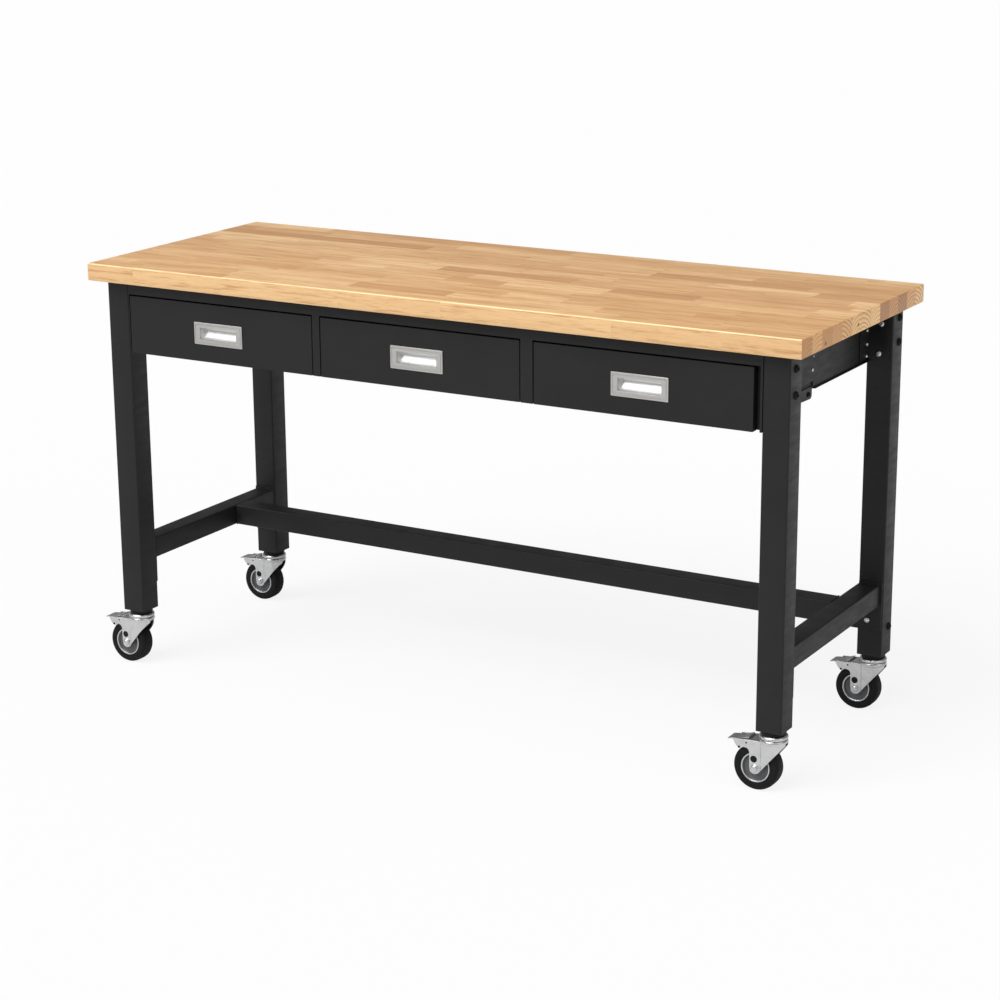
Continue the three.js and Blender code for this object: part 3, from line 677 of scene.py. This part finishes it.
def pull(drawer):
    """Flush pull: a framed plate, a scoop pressed in behind its mouth, and four small rivets."""
    middle = centre_of(f"drawer_pull_{drawer}")
    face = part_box(f"drawer_front_{drawer}")[0].y
    shape = Builder((middle.x, face, middle.z))
    shape.loft([[shape.vertex("Y", u, v, y) for u, v in rounded_loop(half_x, half_z, radius)]
                for half_x, half_z, radius, y in PULL_RINGS], looped=True)
    outside = offset_curve(SCOOP, SCOOP_SHEET)
    shape.prism("X", list(SCOOP) + outside[::-1], -SCOOP_HALF_WIDTH, SCOOP_HALF_WIDTH)
    wall_back, wall_mouth = END_WALL
    for side in (-1, 1):
        shape.loft([
            [shape.vertex("X", y, z, side * wall_back) for y, z in outside],
            [shape.vertex("X", y, z, side * (wall_mouth - END_DRAFT * y)) for y, z in outside],
        ])
        for rise in (-1, 1):
            shape.turned("Y", (side * RIVET_SPOT[0], rise * RIVET_SPOT[1]), RIVET, 12)
    piece = place(f"flush_pull_{drawer}", shape.bm, f"drawer_{drawer}", "pull_steel", sharp=30)
    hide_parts(f"drawer_pull_{drawer}")


for drawer in DRAWERS:
    pull(drawer)

# ---------------------------------------------------------------- casters

# Millimetres from the swivel's axis at the floor. The caster trails towards -X. Profiles turned
# about Z are (radius, z), and those about Y are (radius, y) from the middle plane of the wheel.
AXLE = (-30.5, 48.0)  # x, z
PEDAL_AXIS = (-51.0, 98.5)
FORK_OUTLINE = (  # x, z
    [(27.6, 105.0), (28.4, 103.0), (28.0, 99.6)]
    + arc(*AXLE, 12.4, -38, -142, 10)
    + [(-41.8, 50.0), (-42.2, 62.0), (-42.2, 74.0), (-42.6, 80.4), (-44.6, 84.6), (-48.0, 86.8),
       (-52.0, 87.8), (-56.2, 87.4), (-59.2, 85.2), (-61.6, 83.2), (-65.8, 84.2), (-70.0, 87.8),
       (-73.5, 92.2), (-76.4, 97.2), (-77.0, 100.4), (-75.6, 102.2), (-60.0, 103.2), (-42.0, 104.9),
       (-30.0, 105.0)]
)
FORK_SIDES = ((-22.5, -20.0), (20.0, 22.5))
CREASE = (-18.8, -16.6)  # from the back of the upright crease in the side plates to its front
CREASE_STEP = 2.0
FLARE_START = 6.0  # in front of this the side plates curve in round the race
FLARE_CUTS = (6.0, 10.0, 14.0, 18.0, 22.0, 26.0)
FLARE = 0.030
LOWER_RACE = ((0, 102.6), (26.4, 102.6), (28.4, 103.6), (29.2, 105.6), (29.0, 108.0),
              (27.7, 110.6), (25.4, 111.6), (0, 111.6))
# the flat top between the side plates: x, y
CROWN = ((-43.4, -19.8), (-20.0, -20.2), (-14.0, -22.4), (6.0, -22.4), (14.0, -20.5),
         (22.0, -14.6), (26.0, -9.6), (26.0, 9.6), (22.0, 14.6), (14.0, 20.5), (6.0, 22.4),
         (-14.0, 22.4), (-20.0, 20.2), (-43.4, 19.8))
CROWN_FOOT, CROWN_HEAD = 102.4, 104.9
NUT = ((0, 20.2), (8.6, 20.2), (8.6, 21.8), (6.8, 22.0), (6.5, 24.8), (4.8, 26.2), (0, 26.5))
AXLE_BOLT = ((0, -20.3), (5.0, -20.3), (5.0, 20.3), (0, 20.3))
PEDAL_PIN = ((0, -18.6), (2.2, -18.6), (2.2, 18.6), (0, 18.6))
FITTINGS = (((-32.5, 66.5), 7.2, 21.1), ((-49.4, 97.8), 2.0, 20.8),  # x, z; radius; reach in y
            ((-64.6, 86.6), 2.4, 21.4))
TYRE = ((48.0, 2.0), (47.9, 8.0), (47.3, 12.4), (45.6, 15.4), (42.4, 16.9), (36.0, 16.6),
        (31.0, 16.0))
HUB_DISC = ((28.6, 15.4), (27.4, 15.0), (25.4, 11.4), (18.0, 9.6), (11.4, 11.2), (10.4, 16.8),
            (9.4, 17.8), (5.4, 17.8))
HUB_RING = ((30.8, 16.2), (30.3, 17.0), (29.0, 17.2), (28.0, 16.6), (27.8, 14.0))
WHEEL_PIECES = (("tyre_round", TYRE, "tyre_rubber", "caster_tyre"),
                ("hub_disc", HUB_DISC, "hub_grey", "caster_hub"),
                ("hub_ring", HUB_RING, "zinc", None))
TREAD = (  # x, z, half width: along the top of the pedal, from its tip to the fork
    (-92.6, 97.2, 12.0), (-91.9, 98.3, 13.6), (-89.6, 99.4, 14.5), (-84.0, 100.4, 14.9),
    (-76.0, 101.2, 15.1), (-68.0, 102.2, 15.3), (-60.0, 104.2, 15.5), (-53.0, 106.6, 15.7),
    (-46.4, 108.8, 15.7),
)
TREAD_SHEET = 2.2
PEDAL_WEB = ((-84.0, 99.0), (-70.0, 95.0), (-62.0, 92.6), (-52.0, 93.8), (-47.0, 96.4),
             (-46.9, 106.8), (-60.0, 102.8), (-72.0, 100.4))
PEDAL_WEB_SIDES = ((-14.6, -12.4), (12.4, 14.6))
UPPER_RACE_AND_STEM = (
    (0, 111.9), (24.8, 111.9), (28.2, 112.6), (29.2, 114.6), (28.8, 117.0), (27.0, 119.1),
    (24.2, 120.0), (6.0, 120.0), (6.0, 169.4), (5.2, 170.0), (0, 170.0),
)
FOOT_COLLAR = ((6.4, 120.3), (23.8, 120.3), (24.6, 120.9), (25.9, 127.6), (25.6, 128.7),
               (24.6, 128.7), (24.6, 159.5), (6.4, 159.5))


def mirrored(profile):
    """A wheel profile from its middle plane out, completed on the other side."""
    return [(radius, -y) for radius, y in profile[::-1]] + list(profile)


def fork_plates(shape):
    """The two side plates: a crease steps them in towards the pedal, and they close in round the
    race at the front."""
    for low, high in FORK_SIDES:
        shape.prism("Y", FORK_OUTLINE, low, high)
    for x in CREASE + FLARE_CUTS:
        everything = list(shape.bm.verts) + list(shape.bm.edges) + list(shape.bm.faces)
        bmesh.ops.bisect_plane(shape.bm, geom=everything, plane_no=(1, 0, 0),
                               plane_co=shape.origin + Vector((x * MM, 0, 0)))
    for vertex in shape.bm.verts:
        x = (vertex.co.x - shape.origin.x) / MM
        step = CREASE_STEP if x < CREASE[0] + 0.1 else 0.0
        flare = FLARE * max(x - FLARE_START, 0.0) ** 2
        vertex.co.y += math.copysign((step + flare) * MM, shape.origin.y - vertex.co.y)


def caster_fork(corner, origin):
    shape = Builder(origin)
    fork_plates(shape)
    shape.turned("Z", (0, 0), LOWER_RACE)
    shape.prism("Z", CROWN, CROWN_FOOT, CROWN_HEAD)
    for side in (-1, 1):
        shape.turned("Y", AXLE, [(radius, side * y) for radius, y in NUT])
    shape.turned("Y", AXLE, AXLE_BOLT, 24)
    shape.turned("Y", PEDAL_AXIS, PEDAL_PIN, 24)
    piece = place(f"caster_fork_shell_{corner}", shape.bm, f"caster_{corner}", "zinc",
                  bevel=CASTER_ARRIS)
    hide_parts(f"caster_fork_{corner}")


def caster_fittings(corner, origin):
    """Dark heads on the side plates of the fork."""
    shape = Builder(origin)
    for side in (-1, 1):
        for centre, radius, reach in FITTINGS:
            head = ((0, 18.2), (radius, 18.2), (radius, reach - 0.6), (radius * 0.85, reach),
                    (0, reach))
            shape.turned("Y", centre, [(r, side * y) for r, y in head], 24)
    place(f"caster_fittings_{corner}", shape.bm, f"caster_{corner}", "foot_plastic")


def caster_wheel(corner, origin):
    for name, profile, slot, node in WHEEL_PIECES:
        shape = Builder(origin)
        shape.turned("Y", AXLE, mirrored(profile), 96, looped=True)
        piece = place(f"caster_{name}_{corner}", shape.bm, f"wheel_{corner}", slot, sharp=45)
        if node:
            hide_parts(f"{node}_{corner}")


def caster_pedal(corner, origin):
    shape = Builder(origin)
    shape.loft([[shape.vertex("Y", x, z + dz, y)
                 for dz, y in ((0, -half), (0, half), (-TREAD_SHEET, half), (-TREAD_SHEET, -half))]
                for x, z, half in TREAD])
    for low, high in PEDAL_WEB_SIDES:
        shape.prism("Y", PEDAL_WEB, low, high)
    piece = place(f"caster_pedal_pressing_{corner}", shape.bm, f"pedal_{corner}", "pedal_zinc",
                  bevel=CASTER_ARRIS)
    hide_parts(f"caster_pedal_{corner}")


def caster_head(corner, origin):
    """The upper race with its stem, and the plastic collar in the foot of the leg."""
    race = Builder(origin)
    race.turned("Z", (0, 0), UPPER_RACE_AND_STEM)
    piece = place(f"caster_race_{corner}", race.bm, "bench", "zinc")
    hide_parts(f"caster_head_{corner}")
    foot = Builder(origin)
    foot.turned("Z", (0, 0), FOOT_COLLAR, looped=True)
    piece = place(f"foot_collar_{corner}", foot.bm, "bench", "foot_plastic")
    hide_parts(f"leg_foot_{corner}")


for corner in CORNERS:
    leg = centre_of(f"leg_{corner}")
    swivel = (leg.x, leg.y, 0.0)
    caster_head(corner, swivel)
    caster_fork(corner, swivel)
    caster_fittings(corner, swivel)
    caster_wheel(corner, swivel)
    caster_pedal(corner, swivel)

# ---------------------------------------------------------------- finishes of the other CAD nodes

for entry in frame["record"]["materials"]:
    for node in entry.get("nodes", []):
        target = frame["nodes"][node]
        for material_slot in target.material_slots:
            material_slot.material = FINISH[entry["slot"]]

# ---------------------------------------------------------------- camera, floor and light


def aim_camera():
    camera = bpy.data.objects.new("camera", bpy.data.cameras.new("camera"))
    bpy.context.scene.collection.objects.link(camera)
    bpy.context.scene.camera = camera
    camera.data.lens = CAMERA_LENS
    camera.data.sensor_width = CAMERA_SENSOR
    camera.data.clip_end = 100.0
    turn, lift, tilt = map(math.radians, (CAMERA_TURN, CAMERA_LIFT, CAMERA_TILT))
    ahead = Vector((-math.sin(turn) * math.cos(lift), math.cos(turn) * math.cos(lift),
                    -math.sin(lift)))
    level = Vector((math.cos(turn), math.sin(turn), 0.0))
    above = level.cross(ahead)
    right = level * math.cos(tilt) + above * math.sin(tilt)
    up = above * math.cos(tilt) - level * math.sin(tilt)
    rows = [(*row, place_of) for *row, place_of in zip(right, up, -ahead, CAMERA_PLACE)]
    camera.matrix_world = Matrix((*rows, (0.0, 0.0, 0.0, 1.0)))


def lay_floor():
    """Pale paper that takes the shadows; the camera sees it about as bright as the backdrop."""
    bm = bmesh.new()
    bmesh.ops.create_grid(bm, x_segments=8, y_segments=8, size=FLOOR_SIZE)
    mesh = bpy.data.meshes.new("floor")
    bm.to_mesh(mesh)
    bm.free()
    floor = bpy.data.objects.new("floor", mesh)
    bpy.context.scene.collection.objects.link(floor)
    paper = Shade("floor_paper", Roughness=1.0, Emission_Color=(1.0, 1.0, 1.0, 1.0))
    paper.specular(0.0)
    seen = paper.node("ShaderNodeLightPath").outputs["Is Camera Ray"]
    fleck = paper.noise(paper.point, 3.0)
    bounced, shown = (
        paper.ramp(fleck, (0.0, (dark, dark, dark)), (1.0, (pale, pale, pale)))
        for dark, pale in (FLOOR_BOUNCE, FLOOR_SEEN)
    )
    paper.color(paper.mix(seen, bounced, shown))
    paper.feed(paper.bsdf.inputs["Emission Strength"], paper.times(seen, FLOOR_LIFT))
    mesh.materials.append(paper.material)


def hang_backdrop():
    """An even, nearly white surround: at full strength for the camera, dim as a light."""
    world = bpy.data.worlds.new("studio")
    bpy.context.scene.world = world
    world.use_nodes = True
    sky = world.node_tree
    backdrop = sky.nodes["Background"]
    backdrop.inputs["Color"].default_value = (0.98, 0.98, 0.98, 1.0)
    seen = sky.nodes.new("ShaderNodeLightPath")
    level = sky.nodes.new("ShaderNodeMapRange")
    sky.links.new(seen.outputs["Is Camera Ray"], level.inputs["Value"])
    level.inputs["To Min"].default_value = SKY_LIGHT
    level.inputs["To Max"].default_value = 1.0
    sky.links.new(level.outputs[0], backdrop.inputs["Strength"])


def soft_light(name, toward, spread, strength):
    """A wide, soft light from a direction, the same all over the floor."""
    data = bpy.data.lights.new(name, "SUN")
    data.angle = math.radians(spread)
    data.energy = strength
    lamp = bpy.data.objects.new(name, data)
    lamp.rotation_mode = "QUATERNION"
    lamp.rotation_quaternion = Vector(toward).to_track_quat("Z", "Y")
    bpy.context.scene.collection.objects.link(lamp)


aim_camera()
lay_floor()
hang_backdrop()
for name, toward, spread, strength in SOFT_LIGHTS:
    soft_light(name, toward, spread, strength)

bpy.context.scene.view_settings.view_transform = "Standard"
